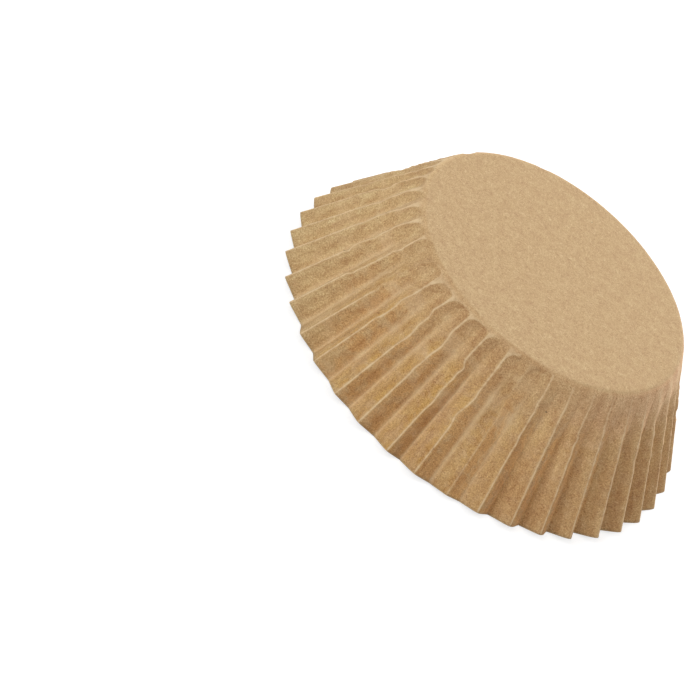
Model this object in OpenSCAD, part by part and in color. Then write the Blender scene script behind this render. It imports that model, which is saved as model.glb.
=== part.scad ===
// Paper cupcake liner, standing upside down on its rim.
// A round of paper is pressed into a flat base and a flared wall of straight pleats.
// Lengths are in millimetres. The origin is the centre of the rim, and +Z runs to the base.

/* [Paper] */
// Diameter of the flat round of paper that the liner is pressed from
blank_d = 99; // [90:1:120]
// Thickness of the paper
paper_t = 0.1; // [0.08:0.01:0.2]

/* [Cup] */
// Diameter of the base, where the planes of the base and the wall meet
base_d = 50; // [40:1:60]
// Diameter over the pleat crests at the rim
rim_d = 75; // [68:1:80]
// Radius of the bend between the base and the wall
bend_r = 1.5; // [1:0.25:3]

/* [Pleats] */
// Number of pleats around the wall
pleats = 40; // [30:1:48]
// Roundness of the inner folds, from 0 for a plain V to 1 for a full scallop
fold_round = 0.4; // [0:0.05:1]
// Facets across each flank of a pleat
flank_facets = 4; // [2:1:6]

/* [Hidden] */
kraft = [0.78, 0.66, 0.49];

// A whole number of pleats closes the ring
pleat_count = round(pleats);
half_pitch = 180 / pleat_count;
base_r = base_d / 2;
rim_r = rim_d / 2;
// Width of the wall, measured along the paper from the base fold to the rim
wall_w = (blank_d - base_d) / 2;
// Angle that a crest leans out from upright, and the tilt that the bend turns through
crest_lean = asin((rim_r - base_r) / wall_w);
wall_tilt = 90 - crest_lean;
// Length of paper between the base fold and either end of the bend
bend_tangent = bend_r * tan(wall_tilt / 2);
// Rows of facets round the bend and down the wall, where the power draws them towards the base
bend_steps = 3;
wall_steps = 5;
wall_row_power = 1.5;
ring_count = bend_steps + wall_steps + 1;
ring_points = 2 * flank_facets * pleat_count;

function mix(a, b, share) = a + (b - a) * share;
function total(list, i = 0) = i == len(list) ? 0 : list[i] + total(list, i + 1);

// Share of the way from crest to valley, at step k across a flank
function fold_share(k) = mix(k / flank_facets, sin(90 * k / flank_facets), fold_round);

// Distance along the paper from its middle to ring j
function reach(j) =
    j <= bend_steps
        ? base_r + bend_tangent * (2 * j / bend_steps - 1)
        : base_r + mix(bend_tangent, wall_w, pow((j - bend_steps) / wall_steps, wall_row_power));

// Tilt of the paper on ring j, from level on the base
function tilt(j) = wall_tilt * min(j / bend_steps, 1);

// [radius, drop below the base] on ring j, this deep inside the surface that the crests lie on
function sheet_point(j, depth) =
    let (
        run = reach(j) - base_r,
        crest = j <= bend_steps
            ? [base_r - bend_tangent + bend_r * sin(tilt(j)), bend_r * (1 - cos(tilt(j)))]
            : [base_r + run * sin(crest_lean), run * cos(crest_lean)]
    )
    crest + depth * [-sin(tilt(j)), cos(tilt(j))];

// Paper length across one flank on ring j, for a valley of the given depth
function flank_length(j, valley_depth) =
    let (line = [for (k = [0 : flank_facets])
        let (
            p = sheet_point(j, valley_depth * fold_share(k)),
            angle = half_pitch * k / flank_facets
        ) [p[0] * cos(angle), p[0] * sin(angle), p[1]]])
    total([for (k = [1 : flank_facets]) norm(line[k] - line[k - 1])]);

// Width of one flank on ring j while the paper is flat
function flat_flank(j) = PI * reach(j) / pleat_count;

// Depth of a valley, found by halving: the flank takes up the flat paper's width on every ring
function solve_depth(j, shallow, deep) =
    let (middle = (shallow + deep) / 2)
    deep - shallow < depth_error ? middle
        : flank_length(j, middle) < flat_flank(j) ? solve_depth(j, middle, deep)
        : solve_depth(j, shallow, middle);
// How closely that depth is found
depth_error = paper_t / 1e7;
valley_depths = [0, for (j = [1 : ring_count - 1]) solve_depth(j, 0, wall_w)];

// Distances from the outer to the inner face, square to the wall, that keep the flanks paper_t thick
skins = [for (j = [0 : ring_count - 1])
    let (middle_r = (sheet_point(j, 0)[0] + sheet_point(j, valley_depths[j])[0]) / 2)
    paper_t * max(1, flat_flank(j) / (PI * middle_r / pleat_count))];

// Height of the base's outer face above the lowest point of the rim
last_ring = ring_count - 1;
height = sheet_point(last_ring, valley_depths[last_ring] + skins[last_ring])[1];

// Point i around ring j; side 0 is the outer face and 1 is the inner face
function paper_point(i, j, side) =
    let (
        step = i % (2 * flank_facets),
        share = fold_share(min(step, 2 * flank_facets - step)),
        p = sheet_point(j, valley_depths[j] * share + skins[j] * side),
        angle = 360 * i / ring_points
    )
    [p[0] * cos(angle), p[0] * sin(angle), height - p[1]];

// The outer face from the base to the rim, then the inner face from the rim back to the base
module pleated_sheet() {
    loops = [
        for (j = [0 : last_ring]) [j, 0],
        for (j = [last_ring : -1 : 0]) [j, 1]
    ];
    last = len(loops) - 1;
    polyhedron(
        points = [for (loop = loops) for (i = [0 : ring_points - 1]) paper_point(i, loop[0], loop[1])],
        faces = [
            [for (i = [ring_points - 1 : -1 : 0]) i],
            for (n = [0 : last - 1]) for (i = [0 : ring_points - 1])
                let (
                    a = n * ring_points + i,
                    b = n * ring_points + (i + 1) % ring_points
                )
                for (half = [[a, b, b + ring_points], [a, b + ring_points, a + ring_points]]) half,
            [for (i = [0 : ring_points - 1]) last * ring_points + i]
        ]
    );
}

module liner() {
    color(kraft)
        pleated_sheet();
}

liner();
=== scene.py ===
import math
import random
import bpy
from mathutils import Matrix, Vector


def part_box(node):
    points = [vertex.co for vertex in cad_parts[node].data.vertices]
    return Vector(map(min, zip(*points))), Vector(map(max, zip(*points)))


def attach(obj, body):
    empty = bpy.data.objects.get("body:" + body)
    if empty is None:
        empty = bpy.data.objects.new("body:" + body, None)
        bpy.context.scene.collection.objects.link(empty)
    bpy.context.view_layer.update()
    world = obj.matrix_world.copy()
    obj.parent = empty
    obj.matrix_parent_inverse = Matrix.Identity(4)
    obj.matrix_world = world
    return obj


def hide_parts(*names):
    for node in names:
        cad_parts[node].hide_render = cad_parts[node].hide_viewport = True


bl_info = {
    "name": "Pleated Cupcake Liner",
    "version": (1, 0, 0),
    "blender": (4, 5, 0),
    "location": "View3D > Sidebar > Liner",
    "description": "Presses a kraft paper cupcake liner and sets it in a small studio",
    "category": "Object",
}

import bmesh
import bpy
from bpy.props import FloatProperty, FloatVectorProperty, IntProperty, PointerProperty
from mathutils import Quaternion, Vector, noise

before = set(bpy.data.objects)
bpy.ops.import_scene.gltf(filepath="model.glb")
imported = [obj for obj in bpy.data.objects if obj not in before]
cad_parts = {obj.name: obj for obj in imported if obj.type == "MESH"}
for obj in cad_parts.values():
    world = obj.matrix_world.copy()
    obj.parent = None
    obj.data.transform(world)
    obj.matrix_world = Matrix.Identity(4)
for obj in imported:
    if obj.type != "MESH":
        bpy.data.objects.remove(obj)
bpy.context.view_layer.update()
LINER_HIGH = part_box("liner")[1]
MM = 0.001


class LinerShape(bpy.types.PropertyGroup):
    """Sizes of the paper and of its folds"""

    base_radius: FloatProperty(
        name="Base Radius", description="Where the base and the wall would meet in a sharp fold",
        default=25 * MM, min=10 * MM, unit="LENGTH")
    rim_radius: FloatProperty(
        name="Rim Radius", description="Over the pleat crests at the rim",
        default=LINER_HIGH.x, min=10 * MM, unit="LENGTH")
    height: FloatProperty(
        name="Height", description="From the rim's inner fold tips to the base",
        default=LINER_HIGH.z, min=5 * MM, unit="LENGTH")
    wall_width: FloatProperty(
        name="Wall Width", description="Along the paper from the base fold to the rim",
        default=24.5 * MM, min=5 * MM, unit="LENGTH")
    thickness: FloatProperty(
        name="Paper Thickness", description="Thickness of the sheet",
        default=0.1 * MM, min=0.02 * MM, unit="LENGTH")
    pleats: IntProperty(
        name="Pleats", description="Number of pleats round the wall", default=40, min=8)
    bend_radius: FloatProperty(
        name="Base Bend", description="Radius of the bend from the base into a pleat's crest",
        default=1.5 * MM, min=0.2 * MM, unit="LENGTH")
    pleat_depth: FloatProperty(
        name="Pleat Depth", description="From crest to valley at the rim, square to the wall",
        default=2.63 * MM, min=0, unit="LENGTH")
    toe_length: FloatProperty(
        name="Toe Length", description="Length of the rounded end of a pleat's pocket, below the base",
        default=2.2 * MM, min=0.1 * MM, unit="LENGTH")
    toe_depth: FloatProperty(
        name="Toe Depth", description="How far a pocket's rounded end is stepped in from the base's bend",
        default=0.26 * MM, min=0, unit="LENGTH")
    fold_round: FloatProperty(
        name="Valley Roundness", description="0 for a plain V, 1 for a full scallop",
        default=0.35, min=0, max=1)
    crest_round: FloatProperty(
        name="Crest Roundness", description="Share of a flank that the crest's bend takes up",
        default=0.12, min=0.001, max=1)


class LinerWear(bpy.types.PropertyGroup):
    """How far the pressed sheet strays from a perfect one"""

    crest_drift: FloatProperty(
        name="Crest Drift", description="Sideways error of a crest along the rim",
        default=0.22 * MM, min=0, unit="LENGTH")
    kink_shift: FloatProperty(
        name="Kink Shift", description="Sideways bump where a crest has buckled",
        default=0.34 * MM, min=0, unit="LENGTH")
    jog_shift: FloatProperty(
        name="Jog Shift", description="Sideways step where a crest jumps to a new line",
        default=0.6 * MM, min=0, unit="LENGTH")
    kink_dent: FloatProperty(
        name="Kink Dent", description="How deep a crest is pressed in where it has buckled",
        default=0.3 * MM, min=0, unit="LENGTH")
    flank_buckle: FloatProperty(
        name="Flank Buckle", description="Unevenness of the flanks between the folds",
        default=0.14 * MM, min=0, unit="LENGTH")
    crumple: FloatProperty(
        name="Crumple", description="Depth of the small crumples half-way down the wall",
        default=0.15 * MM, min=0, unit="LENGTH")
    soft_side: FloatProperty(
        name="Soft Side", description="Direction in which the pleats start most softly below the base",
        default=math.radians(5), unit="ROTATION")
    base_waviness: FloatProperty(
        name="Base Waviness", description="Unevenness of the flat base",
        default=0.05 * MM, min=0, unit="LENGTH")
    pressed_pleat: IntProperty(
        name="Pressed Pleat", description="Number of the pleat that is pressed nearly flat",
        default=31, min=0)
    faint_pleat: IntProperty(
        name="Faint Pleat", description="Number of the pleat that fades out towards the base",
        default=25, min=0)
    seed: IntProperty(name="Seed", description="Seed of all chance variation", default=11)


class PaperFinish(bpy.types.PropertyGroup):
    """Colours of the kraft paper, with the painted light, shade, glow, sheen and highlight of its wall"""

    paper: FloatVectorProperty(
        name="Paper", description="Main colour of the sheet",
        subtype="COLOR", size=3, min=0, max=1, default=(0.6, 0.4, 0.2))
    # Painted light: the paler colour of the wall at its left, where the light falls on it
    painted_light_wall: FloatVectorProperty(
        name="Faded Wall", description="Colour of the palest part of the wall",
        subtype="COLOR", size=3, min=0, max=1, default=(0.668, 0.452, 0.218))
    # Painted sheen: the paler, pinker colour of the wall's right side just below the base
    painted_sheen_wall: FloatVectorProperty(
        name="Rubbed Wall", description="Colour just below the base where the wall has been rubbed",
        subtype="COLOR", size=3, min=0, max=1, default=(0.766, 0.474, 0.25))
    upper_wall: FloatVectorProperty(
        name="Upper Wall", description="Colour of the wall just below the base",
        subtype="COLOR", size=3, min=0, max=1, default=(0.634, 0.39, 0.184))
    # Painted shade: the darker, redder side of each pleat, standing for the flank turned away from the light
    painted_shade_flank: FloatVectorProperty(
        name="Brown Flank", description="Colour near the rim of the side of a pleat that follows its crest",
        subtype="COLOR", size=3, min=0, max=1, default=(0.651, 0.361, 0.141))
    # Painted shade: the same darker side of each pleat where the pleats start softly
    painted_shade_soft_flank: FloatVectorProperty(
        name="Umber Flank", description="Colour of the brown side where the pleats start softly",
        subtype="COLOR", size=3, min=0, max=1, default=(0.715, 0.384, 0.144))
    # Painted glow: the golden side of each pleat, lit as if light came through the paper
    painted_glow_flank: FloatVectorProperty(
        name="Golden Flank", description="Colour near the rim of the side of a pleat that leads to its crest",
        subtype="COLOR", size=3, min=0, max=1, default=(0.648, 0.4, 0.161))
    # Painted glow: the same golden side where the pleats start softly
    painted_glow_soft_flank: FloatVectorProperty(
        name="Buff Flank", description="Colour of the golden side where the pleats start softly",
        subtype="COLOR", size=3, min=0, max=1, default=(0.636, 0.381, 0.168))
    amber_edge: FloatVectorProperty(
        name="Amber Edge", description="Colour of the golden side at the crest, where light comes through",
        subtype="COLOR", size=3, min=0, max=1, default=(0.615, 0.345, 0.107))
    dark_fibre: FloatVectorProperty(
        name="Dark Fibre", description="Colour of the darker fibres",
        subtype="COLOR", size=3, min=0, max=1, default=(0.42, 0.265, 0.125))
    pale_fibre: FloatVectorProperty(
        name="Pale Fibre", description="Colour of the paler fibres",
        subtype="COLOR", size=3, min=0, max=1, default=(0.80, 0.60, 0.37))
    # Painted highlight: the pale colour of the pressed spots stands in for the light they catch
    pressed_highlight: FloatVectorProperty(
        name="Pressed Paper", description="Colour of the spots that the press has polished",
        subtype="COLOR", size=3, min=0, max=1, default=(0.86, 0.61, 0.35))
    crease: FloatVectorProperty(
        name="Crease", description="Colour of the whitened folds and of the cut edge",
        subtype="COLOR", size=3, min=0, max=1, default=(0.92, 0.69, 0.41))
    speck: FloatVectorProperty(
        name="Speck", description="Colour of the bark specks",
        subtype="COLOR", size=3, min=0, max=1, default=(0.12, 0.065, 0.03))


class LinerStudio(bpy.types.PropertyGroup):
    """Floor, lamps and camera"""

    floor_size: FloatProperty(
        name="Floor Size", description="Radius of the round floor",
        default=3.0, min=0.2, unit="LENGTH")
    back_power: FloatProperty(
        name="Back Light", description="Power of the main soft lamp, low behind the liner",
        default=6.3, min=0, unit="POWER")
    back_left_power: FloatProperty(
        name="Back Left Light", description="Power of the soft lamp behind the liner at the left",
        default=1.35, min=0, unit="POWER")
    front_power: FloatProperty(
        name="Front Light", description="Power of the soft lamp beside the camera",
        default=2.6, min=0, unit="POWER")
    low_front_power: FloatProperty(
        name="Low Front Light", description="Power of the soft lamp below the camera at the left",
        default=1.4, min=0, unit="POWER")
    top_power: FloatProperty(
        name="Top Light", description="Power of the soft lamp overhead",
        default=1.3, min=0, unit="POWER")
    right_power: FloatProperty(
        name="Right Light", description="Power of the low soft lamp at the right",
        default=0.6, min=0, unit="POWER")
    lamp_size: FloatProperty(
        name="Lamp Size", description="Diameter of each soft lamp",
        default=0.5, min=0.05, unit="LENGTH")
    lamp_distance: FloatProperty(
        name="Lamp Distance", description="From the middle of the rim to each lamp",
        default=0.9, min=0.3, unit="LENGTH")
    sky_level: FloatProperty(
        name="Sky Level", description="Strength of the even light from all round",
        default=0.195, min=0)
    aim: FloatVectorProperty(
        name="Aim", description="Point that the camera looks at",
        subtype="TRANSLATION", unit="LENGTH", size=3,
        default=(-17.79 * MM, -11.47 * MM, -6.205 * MM))
    distance: FloatProperty(
        name="Distance", description="From the camera to the aim point",
        default=460 * MM, min=0.05, unit="LENGTH")
    azimuth: FloatProperty(
        name="Azimuth", description="Direction of the camera's look round the upright axis",
        default=math.radians(86.02), unit="ROTATION")
    elevation: FloatProperty(
        name="Elevation", description="How far the camera looks down",
        default=math.radians(35.86), unit="ROTATION")
    roll: FloatProperty(
        name="Roll", description="Turn of the camera about its own axis",
        default=math.radians(39.65), unit="ROTATION")
    lens: FloatProperty(
        name="Lens", description="Focal length for a 36 mm wide sensor, in millimetres",
        default=147.04, min=20, unit="CAMERA")


# Spans down the wall are shares of its width: 0 at the base fold, 1 at the rim
WEAR_SETS_IN = (-0.05, 0.25)
CREST_SHARPENS = (0.0, 0.2)
TOE_STEP_ENDS = (0.02, 0.24)
PRESSED_PLEAT_RISES = (0.3, 0.6)
FAINT_PLEAT_RISES = (0.3, 0.52)
PLEAT_SET_IN = -0.03
JOG_HALF_LENGTH = 0.02
CRUMPLED_MIDDLE, CRUMPLED_SPREAD = 0.42, 0.28

# Spans across a pleat, from the crest at 0 to the next crest at 1
TOE_SLANTS = (0.2, 0.8)
TOE_STEP_FADES = (0.5, 0.9)
POLISH_MARGIN = 0.06

# Heights and depths of the two uncommon pleats at the base's end and at the rim's end of their rise
PRESSED_CREST = (0.5, 0.72)
FAINT_CREST = (0.4, 1)
PRESSED_VALLEY = (0.5, 0.7)

# The cosine of the angle to the soft side, where toes turn from crisp to soft at the front and at the back
SOFT_FRONT = (0.17, 0.37)
SOFT_BACK = (-0.3, 0.7)
SOFT_START = 0.36
SOFT_STEADIES = 0.6
CRISP_UP_TO = (0.1, 0.25)

# Ranges that chance draws from
DEPTH_SHARES = (0.9, 1)
TOE_SHARES = (1.7, 0.5)
TOE_STARTS = (-0.8, 0.6)
START_SPANS = (0.03, 0.1)
KINKS_ON_A_CREST = 3
KINK_PLACES = (0.15, 0.62)
KINK_LENGTHS = (0.02, 0.06)
KINK_SHIFTS = (0.3, 1)
KINK_DENTS = (0.1, 1)
JOG_PLACES = (0.12, 0.6)
JOG_SHIFTS = (0.2, 1)
POLISHED_SPOTS = (0, 1, 1, 2)
POLISHED_PLACES = (0.15, 0.75)
POLISHED_LENGTHS = (0.05, 0.16)

# Shapes of the toes and of the folds
TOE_LENGTHENS = (1.6, 0.35)
TOE_STEP_SPREADS = (0, 0.4)
TOE_STEP_SHARES = (1, 0.5)
ROUND_AT_BASE = 0.5
FAR_SIDE_POLISH = 0.35
CREST_MARK = 6

# Waves of the uneven paper per millimetre
BUCKLES, SMALL_BUCKLES = 0.28, 0.7
CRUMPLES, SMALL_CRUMPLES = 1.1, 2.4
BASE_WAVES = 0.11


def mix(a, b, share):
    return a + (b - a) * share


def smooth(low, high, value):
    share = min(max((value - low) / (high - low), 0), 1)
    return share * share * (3 - 2 * share)


def hump(value, centre, width):
    return math.exp(-(((value - centre) / width) ** 2))


class PressedSheet:
    """Gives each point of the flat round of paper its place in the pressed liner. Works in millimetres."""

    def __init__(self, shape, wear):
        self.shape, self.wear = shape, wear
        self.base_r = shape.base_radius / MM
        self.rim_r = shape.rim_radius / MM
        self.height = shape.height / MM
        self.wall = shape.wall_width / MM
        self.blank_r = self.base_r + self.wall
        self.bend = shape.bend_radius / MM
        self.lean = math.asin((self.rim_r - self.base_r) / self.wall)
        self.tangent = self.bend * math.tan((math.pi / 2 - self.lean) / 2)
        self.toe, self.toe_depth = shape.toe_length / MM, shape.toe_depth / MM
        self.fullness = shape.pleat_depth / MM / math.sqrt(self.blank_r ** 2 - self.rim_r ** 2)
        chance = random.Random(wear.seed)
        pleats = range(shape.pleats)
        self.drift = [chance.uniform(-1, 1) * wear.crest_drift / MM for _ in pleats]
        self.valley_drift = [chance.uniform(-1, 1) * wear.crest_drift / MM for _ in pleats]
        self.depth_share = [chance.uniform(*DEPTH_SHARES) for _ in pleats]
        self.toe_share = [mix(*TOE_SHARES, math.sqrt(chance.random())) for _ in pleats]
        self.toe_start = [chance.uniform(*TOE_STARTS) for _ in pleats]
        self.soft = [self.softness_towards(2 * math.pi * (i + 0.5) / shape.pleats) for i in pleats]
        self.softness = [chance.uniform(*START_SPANS) + SOFT_START * soft for soft in self.soft]
        self.kinks = [
            [
                (
                    chance.uniform(*KINK_PLACES),
                    chance.uniform(*KINK_LENGTHS),
                    chance.choice((-1, 1)) * chance.uniform(*KINK_SHIFTS) * wear.kink_shift / MM,
                    chance.uniform(*KINK_DENTS) ** 2 * wear.kink_dent / MM,
                )
                for _ in range(KINKS_ON_A_CREST)
            ]
            for _ in pleats
        ]
        self.jogs = [
            (
                chance.uniform(*JOG_PLACES),
                chance.choice((-1, 1)) * chance.uniform(*JOG_SHIFTS) * wear.jog_shift / MM,
            )
            for _ in pleats
        ]
        self.polished = [
            [
                (chance.uniform(*POLISHED_PLACES), chance.uniform(*POLISHED_LENGTHS), chance.choice((-1, 1)))
                for _ in range(chance.choice(POLISHED_SPOTS))
            ]
            for _ in pleats
        ]

    def softness_towards(self, angle):
        """1 where pleats start softly below the base, down to 0: quickly at the front, slowly at the back"""
        span = SOFT_FRONT if math.sin(angle) < 0 else SOFT_BACK
        return smooth(*span, math.cos(angle - self.wear.soft_side))

    def crest_height(self, crest, share):
        """1 for a full crest, 0 for one pressed down to the valleys"""
        if crest == self.wear.pressed_pleat:
            return mix(*PRESSED_CREST, smooth(*PRESSED_PLEAT_RISES, share))
        if crest == self.wear.faint_pleat:
            return mix(*FAINT_CREST, smooth(*FAINT_PLEAT_RISES, share))
        return 1

    def valley_share(self, valley, share):
        """How much of its full depth this valley has"""
        if valley in (self.wear.pressed_pleat, self.wear.pressed_pleat - 1):
            return mix(*PRESSED_VALLEY, smooth(*PRESSED_PLEAT_RISES, share))
        return self.depth_share[valley]

    def profile(self, reach):
        """[radius, drop, tilt] of the crest line at this distance from the sheet's middle"""
        start, end = self.base_r - self.tangent, self.base_r + self.tangent
        full = math.pi / 2 - self.lean
        if reach <= start:
            return reach, 0, 0
        if reach < end:
            tilt = full * (reach - start) / (end - start)
            return start + self.bend * math.sin(tilt), self.bend * (1 - math.cos(tilt)), tilt
        run = reach - self.base_r
        return self.base_r + run * math.sin(self.lean), run * math.cos(self.lean), full

    def depth(self, reach, radius):
        """Depth of a valley, which takes up the width that the paper has more than its circle"""
        return self.fullness * math.sqrt(max(reach ** 2 - radius ** 2, 0))

    def buckling(self, crest, share, worn):
        """How far a crest strays sideways, and how deep it is pressed in"""
        firm = 1 - SOFT_STEADIES * self.soft[crest]
        jog_at, jog = self.jogs[crest]
        jog *= smooth(jog_at - JOG_HALF_LENGTH, jog_at + JOG_HALF_LENGTH, share) - 0.5
        shift, dent = (self.drift[crest] + jog * firm) * worn, 0
        for centre, length, sideways, inwards in self.kinks[crest]:
            strength = hump(share, centre, length) * firm
            shift += sideways * strength
            dent += inwards * strength
        return shift, dent

    def pocket(self, left, across, u, reach):
        """1 in the middle of the pocket between two crests, 0 on the crests and above the round toe"""
        toe = self.toe * self.toe_share[left] * mix(*TOE_LENGTHENS, smooth(*TOE_SLANTS, across))
        above = min(max(1 - (reach - self.base_r - self.toe_start[left]) / toe, 0), 1)
        return max(0, 1 - math.hypot(1 - u, above)) if across < 0.5 else u * (1 - above)

    def fold(self, crest, inside, share):
        """0 on the crest, 1 in the valley"""
        at_rim = self.shape.crest_round * (1 + self.soft[crest])
        rounding = mix(ROUND_AT_BASE, at_rim, smooth(*CREST_SHARPENS, share))
        v_fold = (math.hypot(inside, rounding) - rounding) / (math.hypot(1, rounding) - rounding)
        return mix(v_fold, math.sin(v_fold * math.pi / 2), self.shape.fold_round)

    def unevenness(self, angle, reach, u, share, worn):
        """Depth of the buckles, crumples and waves that follow no fold"""
        at = Vector((reach * math.cos(angle), reach * math.sin(angle), 0))
        buckle = noise.noise(at * BUCKLES) + 0.5 * noise.noise(at * SMALL_BUCKLES + Vector((7, 3, 1)))
        crumple = noise.noise(at * CRUMPLES) + 0.5 * noise.noise(at * SMALL_CRUMPLES)
        wave = 1 + noise.noise(at * BASE_WAVES)
        return (
            buckle * self.wear.flank_buckle / MM * worn * min(1, 3 * u)
            + crumple * self.wear.crumple / MM * hump(share, CRUMPLED_MIDDLE, CRUMPLED_SPREAD)
            + wave * self.wear.base_waviness / MM * (1 - worn))

    def polish(self, left, across, side, share):
        """1 where the press has polished the paper"""
        inner = smooth(0, POLISH_MARGIN, across) * smooth(1, 1 - POLISH_MARGIN, across)
        return sum(
            smooth(begin, begin + 0.01, share) * smooth(begin + length, begin + length - 0.02, share)
            * inner * (1 if facing == side else FAR_SIDE_POLISH)
            for begin, length, facing in self.polished[left])

    def press(self, angle, reach):
        """Place of the flat point, then the values of its fold layers"""
        count = self.shape.pleats
        turn = angle / (2 * math.pi) * count % count
        left = int(turn) % count
        across = turn - int(turn)
        crest, u, side = (left, 2 * across, 1) if across < 0.5 else ((left + 1) % count, 2 * (1 - across), -1)
        share = (reach - self.base_r) / self.wall
        worn = smooth(*WEAR_SETS_IN, share)
        shift, dent = self.buckling(crest, share, worn)
        inside = self.pocket(left, across, u, reach)
        fold = self.fold(crest, inside, share)
        start = smooth(PLEAT_SET_IN, self.softness[left], share)
        crisp = 1 - smooth(*CRISP_UP_TO, self.softness[left])

        radius, drop, tilt = self.profile(reach)
        height = self.crest_height(crest, share)
        pleat = self.valley_share(left, share) * fold + (1 - height) * (1 - fold)
        depth = self.depth(reach, radius) * start * pleat + dent * (1 - fold) * worn
        step = crisp * smooth(*TOE_STEP_SPREADS, inside) * (1 - smooth(*TOE_STEP_ENDS, share))
        depth += self.toe_depth * step * mix(*TOE_STEP_SHARES, smooth(*TOE_STEP_FADES, across))
        depth += self.unevenness(angle, reach, u, share, worn)

        at = angle + mix(shift, self.valley_drift[left] * worn, u) / max(radius, 1)
        radius, drop = radius - depth * math.sin(tilt), drop + depth * math.cos(tilt)
        up = max(self.height - drop, self.shape.thickness / MM)
        flank = math.pi * reach / count
        return (
            Vector((radius * math.cos(at), radius * math.sin(at), up)) * MM,
            mix(u, inside, crisp) * flank,
            (1 - u) * flank,
            self.blank_r - reach,
            height ** 2 * mix(0.5, 1, start),
            side * min(1, CREST_MARK * u, CREST_MARK * (1 - u)),
            self.polish(left, across, side, share),
        )


FOLD_LAYERS = ("crest_gap", "valley_gap", "rim_gap", "crease", "side", "pressed")

# Radii of the rings of points on the base, then where the close rings lie about the base fold, in millimetres
BASE_RINGS = (4, 9, 14, 18, 21, 22.5)
CLOSE_RINGS_START, CLOSE_RINGS_END, CLOSE_RING_GAP = -1.9, 2.6, 0.25
WALL_RING_GAP = 0.5
COLUMNS_IN_A_PLEAT = 16
COLUMN_PULL = 0.6


def sheet_rings(sheet):
    """Distances from the middle to the rings of points, which lie closest together at the base fold"""
    rings = list(BASE_RINGS)
    reach = sheet.base_r + CLOSE_RINGS_START
    while reach < sheet.base_r + CLOSE_RINGS_END:
        rings.append(reach)
        reach += CLOSE_RING_GAP
    steps = round((sheet.blank_r - reach) / WALL_RING_GAP)
    rings += [mix(reach, sheet.blank_r, step / steps) for step in range(steps + 1)]
    return rings


def pleated_liner(shape, wear):
    """Draws the flat round of paper with rings of points, then presses each point into place"""
    sheet = PressedSheet(shape, wear)
    rings = sheet_rings(sheet)
    bm = bmesh.new()
    bmesh.ops.create_circle(bm, cap_ends=True, radius=rings[0], segments=COLUMNS_IN_A_PLEAT * shape.pleats)
    edges = list(bm.edges)
    for inner, outer in zip(rings, rings[1:]):
        ring = bmesh.ops.extrude_edge_only(bm, edges=edges)["geom"]
        edges = [item for item in ring if isinstance(item, bmesh.types.BMEdge) and item.is_boundary]
        points = [item for item in ring if isinstance(item, bmesh.types.BMVert)]
        bmesh.ops.scale(bm, verts=points, vec=(outer / inner, outer / inner, 1))

    # Columns stand closest together at the crests and the valleys
    for point in bm.verts:
        angle, reach = math.atan2(point.co.y, point.co.x), point.co.xy.length
        angle -= COLUMN_PULL * math.sin(2 * shape.pleats * angle) / (2 * shape.pleats)
        point.co = (reach * math.cos(angle), reach * math.sin(angle), 0)

    flat = bm.loops.layers.uv.new("flat_sheet")
    for face in bm.faces:
        for corner in face.loops:
            corner[flat].uv = corner.vert.co.xy / (2 * sheet.blank_r) + Vector((0.5, 0.5))

    layers = [bm.verts.layers.float.new(name) for name in FOLD_LAYERS]
    for point in bm.verts:
        pressed = sheet.press(math.atan2(point.co.y, point.co.x), point.co.xy.length)
        point.co = pressed[0]
        for layer, value in zip(layers, pressed[1:]):
            point[layer] = value
    bmesh.ops.recalc_face_normals(bm, faces=bm.faces)
    if max(bm.faces, key=lambda face: face.calc_area()).normal.z < 0:
        bmesh.ops.reverse_faces(bm, faces=bm.faces)
    for face in bm.faces:
        face.smooth = True

    mesh = bpy.data.meshes.new("paper_liner")
    bm.to_mesh(mesh)
    bm.free()
    liner = bpy.data.objects.new("paper_liner", mesh)
    bpy.context.collection.objects.link(liner)
    wall = liner.modifiers.new("paper_thickness", "SOLIDIFY")
    wall.thickness = shape.thickness
    wall.offset = -1
    wall.use_even_offset = True
    return liner


class NodeSheet:
    """Short ways to add and join nodes"""

    def __init__(self, tree):
        self.tree = tree

    def add(self, kind, inputs=None, **settings):
        node = self.tree.nodes.new(kind)
        for name, value in settings.items():
            setattr(node, name, value)
        for key, value in (inputs or {}).items():
            self.feed(node.inputs[key], value)
        return node

    def feed(self, socket, value):
        if isinstance(value, bpy.types.NodeSocket):
            self.tree.links.new(value, socket)
        else:
            socket.default_value = value

    def math(self, operation, *values, clamp=False):
        node = self.add("ShaderNodeMath", dict(enumerate(values)), operation=operation, use_clamp=clamp)
        return node.outputs[0]

    def product(self, first, *others):
        for other in others:
            first = self.math("MULTIPLY", first, other)
        return first

    def vector(self, operation, *values):
        return self.add("ShaderNodeVectorMath", dict(enumerate(values)), operation=operation).outputs[0]

    def ramp(self, value, low, high, out_low=0.0, out_high=1.0):
        return self.add(
            "ShaderNodeMapRange",
            {"Value": value, "From Min": low, "From Max": high, "To Min": out_low, "To Max": out_high},
            interpolation_type="SMOOTHSTEP").outputs[0]

    def noise(self, vector, scale, detail=2.0, rough=0.5):
        return self.add(
            "ShaderNodeTexNoise",
            {"Vector": vector, "Scale": scale, "Detail": detail, "Roughness": rough}).outputs["Fac"]

    def blend(self, factor, a, b):
        return self.add("ShaderNodeMix", {0: factor, 6: a, 7: b}, data_type="RGBA").outputs[2]


def new_group(name, inputs, outputs):
    """A node group with these inputs and number outputs, its sheet of nodes, and the two ends"""
    tree = bpy.data.node_groups.new(name, "ShaderNodeTree")
    for label, kind in inputs:
        tree.interface.new_socket(label, in_out="INPUT", socket_type=kind)
    for label in outputs:
        tree.interface.new_socket(label, in_out="OUTPUT", socket_type="NodeSocketFloat")
    return NodeSheet(tree), tree.nodes.new("NodeGroupInput"), tree.nodes.new("NodeGroupOutput")


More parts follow.
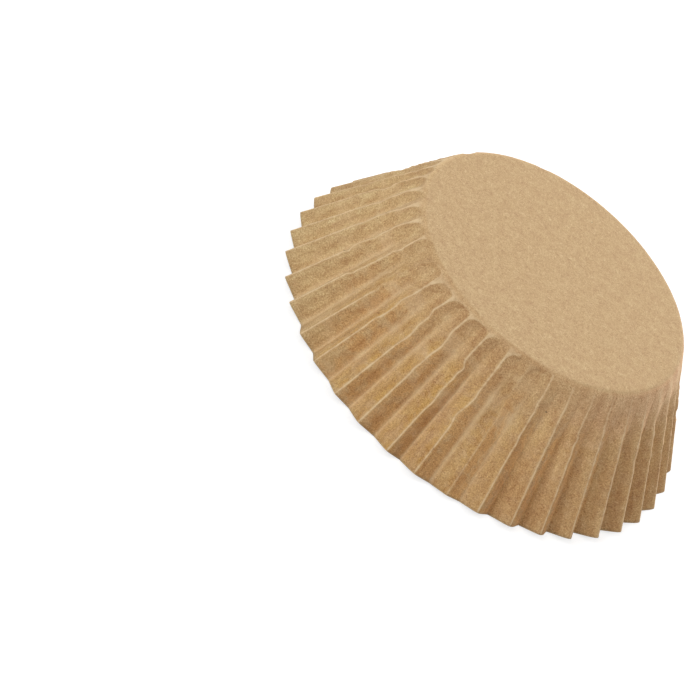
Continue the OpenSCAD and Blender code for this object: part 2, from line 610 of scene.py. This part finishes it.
# Noises on the flat sheet: scale per millimetre, detail and roughness
WARP = (0.6, 1.0)
STRAND = (1.0, 1.5)
GRAIN = (4.2, 3.0, 0.7)
BROAD_CLOUD = (0.55, 4.0, 0.62)
SMALL_CLOUD = (1.7, 3.0, 0.5)
PATCH = (0.3, 2.0, 0.4)
# Patches in which the painted shade and glow of the flanks show
FLANK_PATCH_NOISE = (0.45, 3.0, 0.55)
STREAK = (0.95, 2.0, 0.5)

# What the ramps make of these noises: from, to and the values at both ends where they aren't 0 and 1
PALE_STRAND = (0.58, 0.76)
DARK_STRAND = (0.42, 0.24)
PATCH_EDGE = (0.545, 0.6)
FLANK_PATCH_EDGE = (0.36, 0.6, 0.25, 1.45)

WARP_REACH = 1.8
STRAND_TURNS = (12, 57, 101, 149)
STRAND_OFFSET = 13.0
FIBRE_LENGTH, FIBRE_WIDTH = 0.9, 0.17
BROAD_CLOUD_SHARE = 0.6
SPECK_CELLS = 0.55
SPECK_SIZE = (0.10, 0.045)
SPECK_RARITY = 0.985
FIBRE_RELIEF, GRAIN_RELIEF = 0.3, 1.6


def kraft_grain_group():
    """Fibres, grain, clouds and specks of unbleached paper, on a position in millimetres"""
    n, given, out = new_group(
        "kraft_grain",
        [
            ("Sheet", "NodeSocketVector"),
            ("Fibre Length", "NodeSocketFloat"),
            ("Fibre Width", "NodeSocketFloat"),
        ],
        ["Pale", "Dark", "Grain", "Cloud", "Speck", "Relief", "Patch", "Stain"])
    sheet = given.outputs["Sheet"]
    scale, detail = WARP
    warp = n.add("ShaderNodeTexNoise", {"Vector": sheet, "Scale": scale, "Detail": detail}).outputs["Color"]
    centred = n.vector("SUBTRACT", warp, (0.5, 0.5, 0.5))
    bent = n.vector("MULTIPLY_ADD", centred, (WARP_REACH, WARP_REACH, 0), sheet)
    along = n.math("DIVIDE", 1.0, given.outputs["Fibre Length"])
    over = n.math("DIVIDE", 1.0, given.outputs["Fibre Width"])
    squeeze = n.add("ShaderNodeCombineXYZ", {0: along, 1: over, 2: 1.0}).outputs[0]

    def fibres(turn, offset):
        turned = n.add(
            "ShaderNodeVectorRotate", {"Vector": bent, "Angle": math.radians(turn)}, rotation_type="Z_AXIS")
        moved = n.vector("ADD", turned.outputs[0], (offset, offset * 0.7, offset))
        return n.noise(n.vector("MULTIPLY", moved, squeeze), *STRAND)

    strands = [fibres(turn, STRAND_OFFSET * step) for step, turn in enumerate(STRAND_TURNS)]

    def furthest(operation):
        return n.math(operation, n.math(operation, *strands[:2]), n.math(operation, *strands[2:]))

    pale = n.ramp(furthest("MAXIMUM"), *PALE_STRAND)
    dark = n.ramp(furthest("MINIMUM"), *DARK_STRAND)
    grain = n.noise(sheet, *GRAIN)
    small = n.math("MULTIPLY", n.noise(sheet, *SMALL_CLOUD), 1 - BROAD_CLOUD_SHARE)
    cloud = n.math("MULTIPLY_ADD", n.noise(sheet, *BROAD_CLOUD), BROAD_CLOUD_SHARE, small)
    cells = n.add("ShaderNodeTexVoronoi", {"Vector": bent, "Scale": SPECK_CELLS})
    lot = n.add("ShaderNodeSeparateColor", {0: cells.outputs["Color"]}).outputs[0]
    rare = n.math("GREATER_THAN", lot, SPECK_RARITY)
    fibre_relief = n.math("SUBTRACT", pale, dark)
    results = {
        "Pale": pale,
        "Dark": dark,
        "Grain": grain,
        "Cloud": cloud,
        "Speck": n.product(n.ramp(cells.outputs["Distance"], *SPECK_SIZE), rare),
        "Relief": n.math("MULTIPLY_ADD", fibre_relief, FIBRE_RELIEF, n.math("MULTIPLY", grain, GRAIN_RELIEF)),
        "Patch": n.ramp(n.noise(bent, *PATCH), *PATCH_EDGE),
        "Stain": n.ramp(n.noise(bent, *FLANK_PATCH_NOISE), *FLANK_PATCH_EDGE),
    }
    for name, value in results.items():
        n.feed(out.inputs[name], value)
    return n.tree


# Ramps on the gaps to the folds and on the drop below the base fold, in millimetres
CREST_LINE = (0.16, -0.05)
CREST_HALO = (0.5, 0.0, 0.0, 0.4)
HALO_START = (1.5, 5.0)
CREST_START = (-1.0, 1.2)
VALLEY_LINE = (0.55, -0.4)
VALLEY_START = (2.0, 10.0)
RIM_EDGE = (0.2, 0.02)
WALL_START = (-1.0, 0.0)
AMBER_BAND = (2.2, 0.5)
LOWER_WALL = (0.0, 15.0)

# How the clouds of the paper break up the folds
RAGGED_CREST, RAGGED_VALLEY = -0.2, -0.7
CREST_BREAKS = (0.3, 0.65, 0.45, 1.0)
POLISH_BREAKS = (0.35, 0.6, 0.75, 1.0)


def fold_whitening_and_painted_light_group():
    """Where the paper has whitened along its folds and at its cut edge, where it is wall, and where the
    painted shade, glow, sheen and highlight of the wall fall
    """
    names = FOLD_LAYERS + ("cloud", "late", "wall_width")
    n, given, out = new_group(
        "fold_wear",
        [(name, "NodeSocketFloat") for name in names],
        ["Crest", "Valley", "Rim", "Wall", "Brown", "Amber", "Lower", "Pressed"])
    crest_gap, valley_gap, rim_gap, crease, side, pressed, cloud, late, wall_width = (
        given.outputs[name] for name in names)
    drop = n.math("SUBTRACT", wall_width, rim_gap)
    late_drop = n.math("SUBTRACT", drop, late)
    ragged_crest = n.math("MULTIPLY_ADD", cloud, RAGGED_CREST, crest_gap)
    ragged_valley = n.math("MULTIPLY_ADD", cloud, RAGGED_VALLEY, valley_gap)
    halo = n.product(n.ramp(crest_gap, *CREST_HALO), n.ramp(drop, *HALO_START))
    line = n.math("MAXIMUM", n.ramp(ragged_crest, *CREST_LINE), halo)
    results = {
        "Crest": n.product(line, crease, n.ramp(cloud, *CREST_BREAKS), n.ramp(late_drop, *CREST_START)),
        "Valley": n.product(n.ramp(ragged_valley, *VALLEY_LINE), n.ramp(drop, *VALLEY_START)),
        "Rim": n.ramp(rim_gap, *RIM_EDGE),
        "Wall": n.ramp(late_drop, *WALL_START),
        # Which side of each pleat takes the painted shade (1) and which the painted glow (0)
        "Brown": n.math("MULTIPLY_ADD", side, 0.5, 0.5),
        "Amber": n.ramp(crest_gap, *AMBER_BAND),
        "Lower": n.ramp(drop, *LOWER_WALL),
        "Pressed": n.product(pressed, n.ramp(cloud, *POLISH_BREAKS)),
    }
    for name, value in results.items():
        n.feed(out.inputs[name], value)
    return n.tree


# Ramps across the flat sheet, from its left edge at 0 to its right edge at 1
LATE_FOLDS = (0.5, 0.72, 0.0, 0.6)
RIGHT_TINTS = (0.4, 0.75)
# Painted light: the wall turns from its paler left colour to its plain upper colour
PAINTED_LIGHT_LEFT = (0.12, 0.44)
# Painted sheen on the right of the wall
PAINTED_SHEEN_RIGHT = (0.56, 0.75)
# Where the painted shade and glow of the flanks set in, from the left
PAINTED_FLANKS_RIGHT = (0.1, 0.35)
# Painted highlight on the pressed spots, stronger on the left
PRESSED_HIGHLIGHT_LEFT = (0.72, 0.4, 0.15, 0.36)
PALE_VALLEYS_LEFT = (0.7, 0.55, 0.0, 0.45)
# The same from its front edge at 0 to its back edge at 1
# Painted light: the wall's tints fade out towards its back
PAINTED_LIGHT_FRONT = (0.68, 0.53, 0.25, 1.0)

# Ramps on the clouds
CLOUD_TONE = (0.3, 0.7, 0.89, 1.09)
CLOUD_ROUGHNESS = (0.3, 0.7, 0.78, 0.92)

# Weights of the grain, fibres and streaks in the tone, and of each tint in the colour
# How strongly the painted sheen keeps to the top of the wall, just below the base
PAINTED_SHEEN_HEIGHT = 1.4
BASE_GRIT, WALL_GRIT = 0.9, 0.5
FIBRE_TONE = 0.16
STREAK_TONE = 0.55
STREAK_LENGTH, STREAK_SLIDE = 0.12, (0.09, 0.06)
TONE_ON_GREEN, TONE_ON_BLUE = 1.6, 2.0
DARK_FIBRES, PALE_FIBRES = 0.15, 0.12
PATCH_SHARE = 0.45
CREST_WHITE, RIM_WHITE = 0.92, 0.7


def kraft_paper(finish, sheet_width, wall_width):
    """Unbleached paper, with its pattern and the painted light and shade of its wall laid out on the flat
    sheet. Both widths are in millimetres.
    """
    material = bpy.data.materials.new("kraft_paper")
    material.use_nodes = True
    n = NodeSheet(material.node_tree)
    shader = material.node_tree.nodes["Principled BSDF"]
    flat = n.add("ShaderNodeUVMap", uv_map="flat_sheet").outputs[0]
    sheet = n.add("ShaderNodeMapping", {"Vector": flat, "Scale": (sheet_width, sheet_width, 1)}).outputs[0]
    split = n.add("ShaderNodeSeparateXYZ", {0: sheet}).outputs
    sheet_x, sheet_y = split[0], split[1]
    across, along = n.math("DIVIDE", sheet_x, sheet_width), n.math("DIVIDE", sheet_y, sheet_width)
    grain = n.add(
        "ShaderNodeGroup",
        {"Sheet": sheet, "Fibre Length": FIBRE_LENGTH, "Fibre Width": FIBRE_WIDTH},
        node_tree=kraft_grain_group()).outputs
    layers = {name: n.add("ShaderNodeAttribute", attribute_name=name).outputs["Fac"] for name in FOLD_LAYERS}
    late = n.ramp(across, *LATE_FOLDS)
    folds = n.add(
        "ShaderNodeGroup",
        {**layers, "cloud": grain["Cloud"], "late": late, "wall_width": wall_width},
        node_tree=fold_whitening_and_painted_light_group()).outputs
    wall = folds["Wall"]

    def colour(value):
        return (*value, 1.0)

    right = n.ramp(across, *RIGHT_TINTS)
    # Painted shade and glow: one side of each pleat is darker and redder, the other golden, amber next to the
    # crests
    golden = n.blend(folds["Amber"], colour(finish.painted_glow_flank), colour(finish.amber_edge))
    golden = n.blend(right, golden, colour(finish.painted_glow_soft_flank))
    brown = n.blend(right, colour(finish.painted_shade_flank), colour(finish.painted_shade_soft_flank))
    flank = n.blend(folds["Brown"], golden, brown)
    # Painted light: the upper wall is paler towards its left, where the light falls
    upper = n.blend(n.ramp(across, *PAINTED_LIGHT_LEFT), colour(finish.painted_light_wall), colour(finish.upper_wall))
    # Painted sheen: the right of the wall just below the base takes a paler, pinker colour
    high = n.math("MULTIPLY_ADD", folds["Lower"], -PAINTED_SHEEN_HEIGHT, PAINTED_SHEEN_HEIGHT, clamp=True)
    upper = n.blend(n.product(n.ramp(across, *PAINTED_SHEEN_RIGHT), high), upper, colour(finish.painted_sheen_wall))
    # Painted shade and glow: the flank colours show patchily down the lower wall, but not at its far left
    painted_flank_share = n.product(folds["Lower"], n.ramp(across, *PAINTED_FLANKS_RIGHT), grain["Stain"])
    flank = n.blend(painted_flank_share, upper, flank)
    # Painted light and shade: the tints of the wall, with their painted shade, glow, sheen and lit side, lie
    # on the front of the wall, and the back of the wall is nearly plain
    body = n.blend(n.product(wall, n.ramp(along, *PAINTED_LIGHT_FRONT)), colour(finish.paper), flank)

    grit = n.math("MULTIPLY_ADD", wall, WALL_GRIT, BASE_GRIT)
    grit = n.product(n.math("SUBTRACT", grain["Grain"], 0.5), grit)
    strands = n.math("MULTIPLY", n.math("SUBTRACT", grain["Pale"], grain["Dark"]), FIBRE_TONE)
    tone = n.math("ADD", n.math("ADD", n.ramp(grain["Cloud"], *CLOUD_TONE), grit), strands)
    # Long soft streaks follow the folds, and slide slowly to another pattern round the wall
    slide = n.math("MULTIPLY_ADD", sheet_x, STREAK_SLIDE[0], n.math("MULTIPLY", sheet_y, STREAK_SLIDE[1]))
    down = n.math("MULTIPLY", layers["rim_gap"], STREAK_LENGTH)
    on_fold = n.add("ShaderNodeCombineXYZ", {0: layers["crest_gap"], 1: down, 2: slide}).outputs[0]
    streak = n.math("SUBTRACT", n.noise(on_fold, *STREAK), 0.5)
    tone = n.math("MULTIPLY_ADD", streak, n.math("MULTIPLY", wall, STREAK_TONE), tone)
    # The tone works more on green and blue than on red, so that the grain looks neutral on the tan paper
    green, blue = n.math("POWER", tone, TONE_ON_GREEN), n.math("POWER", tone, TONE_ON_BLUE)
    body = n.vector("MULTIPLY", body, n.add("ShaderNodeCombineXYZ", {0: tone, 1: green, 2: blue}).outputs[0])

    # Painted highlight: pale pressed spots and patches on the wall, mostly on its left
    polished = n.math("MAXIMUM", n.math("MULTIPLY", grain["Patch"], PATCH_SHARE), folds["Pressed"])
    marks = (
        (n.math("MULTIPLY", grain["Dark"], DARK_FIBRES), finish.dark_fibre),
        (n.math("MULTIPLY", grain["Pale"], PALE_FIBRES), finish.pale_fibre),
        (n.product(polished, wall, n.ramp(across, *PRESSED_HIGHLIGHT_LEFT)), finish.pressed_highlight),
        (n.product(folds["Valley"], n.ramp(across, *PALE_VALLEYS_LEFT)), finish.crease),
        (n.math("MULTIPLY", folds["Crest"], CREST_WHITE), finish.crease),
        (n.math("MULTIPLY", folds["Rim"], RIM_WHITE), finish.crease),
        (grain["Speck"], finish.speck),
    )
    for share, mark in marks:
        body = n.blend(share, body, colour(mark))
    n.feed(shader.inputs["Base Color"], body)
    n.feed(shader.inputs["Roughness"], n.ramp(grain["Cloud"], *CLOUD_ROUGHNESS))
    bump = n.add("ShaderNodeBump", {"Height": grain["Relief"], "Strength": 0.4, "Distance": 0.05 * MM})
    n.feed(shader.inputs["Normal"], bump.outputs[0])
    shader.inputs["Specular IOR Level"].default_value = 0.3
    shader.inputs["Sheen Weight"].default_value = 0.06
    shader.inputs["Sheen Roughness"].default_value = 0.5
    return material


WHITE = (1, 1, 1, 1)
FLOOR_GREY = (0.5, 0.5, 0.5, 1)
FLOOR_GLOW = 0.75


def studio_white():
    """A plain pale floor that the camera sees as white, apart from the shadow"""
    material = bpy.data.materials.new("studio_white")
    material.use_nodes = True
    n = NodeSheet(material.node_tree)
    shader = material.node_tree.nodes["Principled BSDF"]
    shader.inputs["Base Color"].default_value = FLOOR_GREY
    shader.inputs["Roughness"].default_value = 0.9
    shader.inputs["Specular IOR Level"].default_value = 0.0
    glow = n.add("ShaderNodeEmission", {"Color": WHITE, "Strength": FLOOR_GLOW})
    path = n.add("ShaderNodeLightPath")
    seen = n.math("MAXIMUM", path.outputs["Is Camera Ray"], path.outputs["Is Glossy Ray"])
    nothing = n.add("ShaderNodeEmission", {"Strength": 0.0})
    lift = n.add("ShaderNodeMixShader", {0: seen, 1: nothing.outputs[0], 2: glow.outputs[0]})
    both = n.add("ShaderNodeAddShader", {0: shader.outputs[0], 1: lift.outputs[0]})
    out = material.node_tree.nodes["Material Output"]
    n.feed(out.inputs["Surface"], both.outputs[0])
    return material


def studio_sky(level):
    """An even sky that lights at this level and is seen as white"""
    world = bpy.data.worlds.new("studio_sky")
    bpy.context.scene.world = world
    world.use_nodes = True
    tree = world.node_tree
    tree.nodes.clear()
    n = NodeSheet(tree)
    path = n.add("ShaderNodeLightPath")
    seen = n.math("MAXIMUM", path.outputs["Is Camera Ray"], path.outputs["Is Glossy Ray"])
    seen = n.math("MAXIMUM", seen, path.outputs["Is Transmission Ray"])
    light = n.add("ShaderNodeBackground", {"Color": WHITE, "Strength": level})
    white = n.add("ShaderNodeBackground", {"Color": WHITE, "Strength": 1.0})
    both = n.add("ShaderNodeMixShader", {0: seen, 1: light.outputs[0], 2: white.outputs[0]})
    n.add("ShaderNodeOutputWorld", {"Surface": both.outputs[0]})


# Name, direction from the middle of the rim, and power setting of each soft lamp
LAMPS = (
    ("back_lamp", (0.3, 0.9, 0.35), "back_power"),
    ("back_left_lamp", (-0.5, 0.68, 0.54), "back_left_power"),
    ("front_lamp", (-0.47, -0.55, 0.69), "front_power"),
    ("low_front_lamp", (-0.71, -0.61, 0.35), "low_front_power"),
    ("top_lamp", (0.6, 0.04, 0.8), "top_power"),
    ("right_lamp", (0.97, -0.25, 0.12), "right_power"),
)


def soft_lamp(name, direction, power, studio):
    lamp = bpy.data.lights.new(name, "AREA")
    lamp.shape = "DISK"
    lamp.size = studio.lamp_size
    lamp.energy = power
    holder = bpy.data.objects.new(name, lamp)
    towards = Vector(direction).normalized()
    holder.location = towards * studio.lamp_distance
    holder.rotation_mode = "QUATERNION"
    holder.rotation_quaternion = (-towards).to_track_quat("-Z", "Y")
    bpy.context.collection.objects.link(holder)


def studio_floor(studio):
    bm = bmesh.new()
    bmesh.ops.create_circle(bm, cap_ends=True, radius=studio.floor_size, segments=64)
    mesh = bpy.data.meshes.new("studio_floor")
    bm.to_mesh(mesh)
    bm.free()
    floor = bpy.data.objects.new("studio_floor", mesh)
    floor.data.materials.append(studio_white())
    bpy.context.collection.objects.link(floor)
    return floor


def studio_camera(studio):
    camera = bpy.data.objects.new("camera", bpy.data.cameras.new("camera"))
    look = Vector((
        math.cos(studio.azimuth) * math.cos(studio.elevation),
        math.sin(studio.azimuth) * math.cos(studio.elevation),
        -math.sin(studio.elevation)))
    camera.location = Vector(studio.aim) - look * studio.distance
    camera.rotation_mode = "QUATERNION"
    camera.rotation_quaternion = look.to_track_quat("-Z", "Y") @ Quaternion((0, 0, 1), studio.roll)
    camera.data.lens = studio.lens
    camera.data.sensor_width = 36
    camera.data.clip_start = 0.01
    bpy.context.collection.objects.link(camera)
    return camera


class LINER_OT_press(bpy.types.Operator):
    """Press the pleated paper liner from a flat round of kraft paper"""

    bl_idname = "liner.press"
    bl_label = "Press Liner"

    def execute(self, context):
        shape = context.scene.liner_shape
        liner = pleated_liner(shape, context.scene.liner_wear)
        sheet_width = 2 * (shape.base_radius + shape.wall_width) / MM
        paper = kraft_paper(context.scene.paper_finish, sheet_width, shape.wall_width / MM)
        liner.data.materials.append(paper)
        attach(liner, "root")
        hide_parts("liner")
        return {"FINISHED"}


class LINER_OT_studio(bpy.types.Operator):
    """Set up the floor, the soft lamps and the camera"""

    bl_idname = "liner.studio"
    bl_label = "Set Up Studio"

    def execute(self, context):
        studio = context.scene.liner_studio
        floor = studio_floor(studio)
        studio_sky(studio.sky_level)
        for name, direction, power in LAMPS:
            soft_lamp(name, direction, getattr(studio, power), studio)
        context.scene.camera = studio_camera(studio)
        context.scene.view_settings.view_transform = "Standard"
        return {"FINISHED"}


class LINER_PT_panel(bpy.types.Panel):
    """Sizes, colours and buttons of the liner"""

    bl_idname = "LINER_PT_panel"
    bl_label = "Cupcake Liner"
    bl_space_type = "VIEW_3D"
    bl_region_type = "UI"
    bl_category = "Liner"

    def draw(self, context):
        scene = context.scene
        for group in (scene.liner_shape, scene.liner_wear, scene.paper_finish, scene.liner_studio):
            box = self.layout.box()
            for name in group.__annotations__:
                box.prop(group, name)
        self.layout.operator("liner.press")
        self.layout.operator("liner.studio")


CLASSES = (
    LinerShape, LinerWear, PaperFinish, LinerStudio,
    LINER_OT_press, LINER_OT_studio, LINER_PT_panel,
)


def register():
    for cls in CLASSES:
        bpy.utils.register_class(cls)
    bpy.types.Scene.liner_shape = PointerProperty(type=LinerShape)
    bpy.types.Scene.liner_wear = PointerProperty(type=LinerWear)
    bpy.types.Scene.paper_finish = PointerProperty(type=PaperFinish)
    bpy.types.Scene.liner_studio = PointerProperty(type=LinerStudio)


def unregister():
    for name in ("liner_studio", "paper_finish", "liner_wear", "liner_shape"):
        delattr(bpy.types.Scene, name)
    for cls in reversed(CLASSES):
        bpy.utils.unregister_class(cls)


def main():
    register()
    bpy.ops.liner.press()
    bpy.ops.liner.studio()


if __name__ == "__main__":
    main()
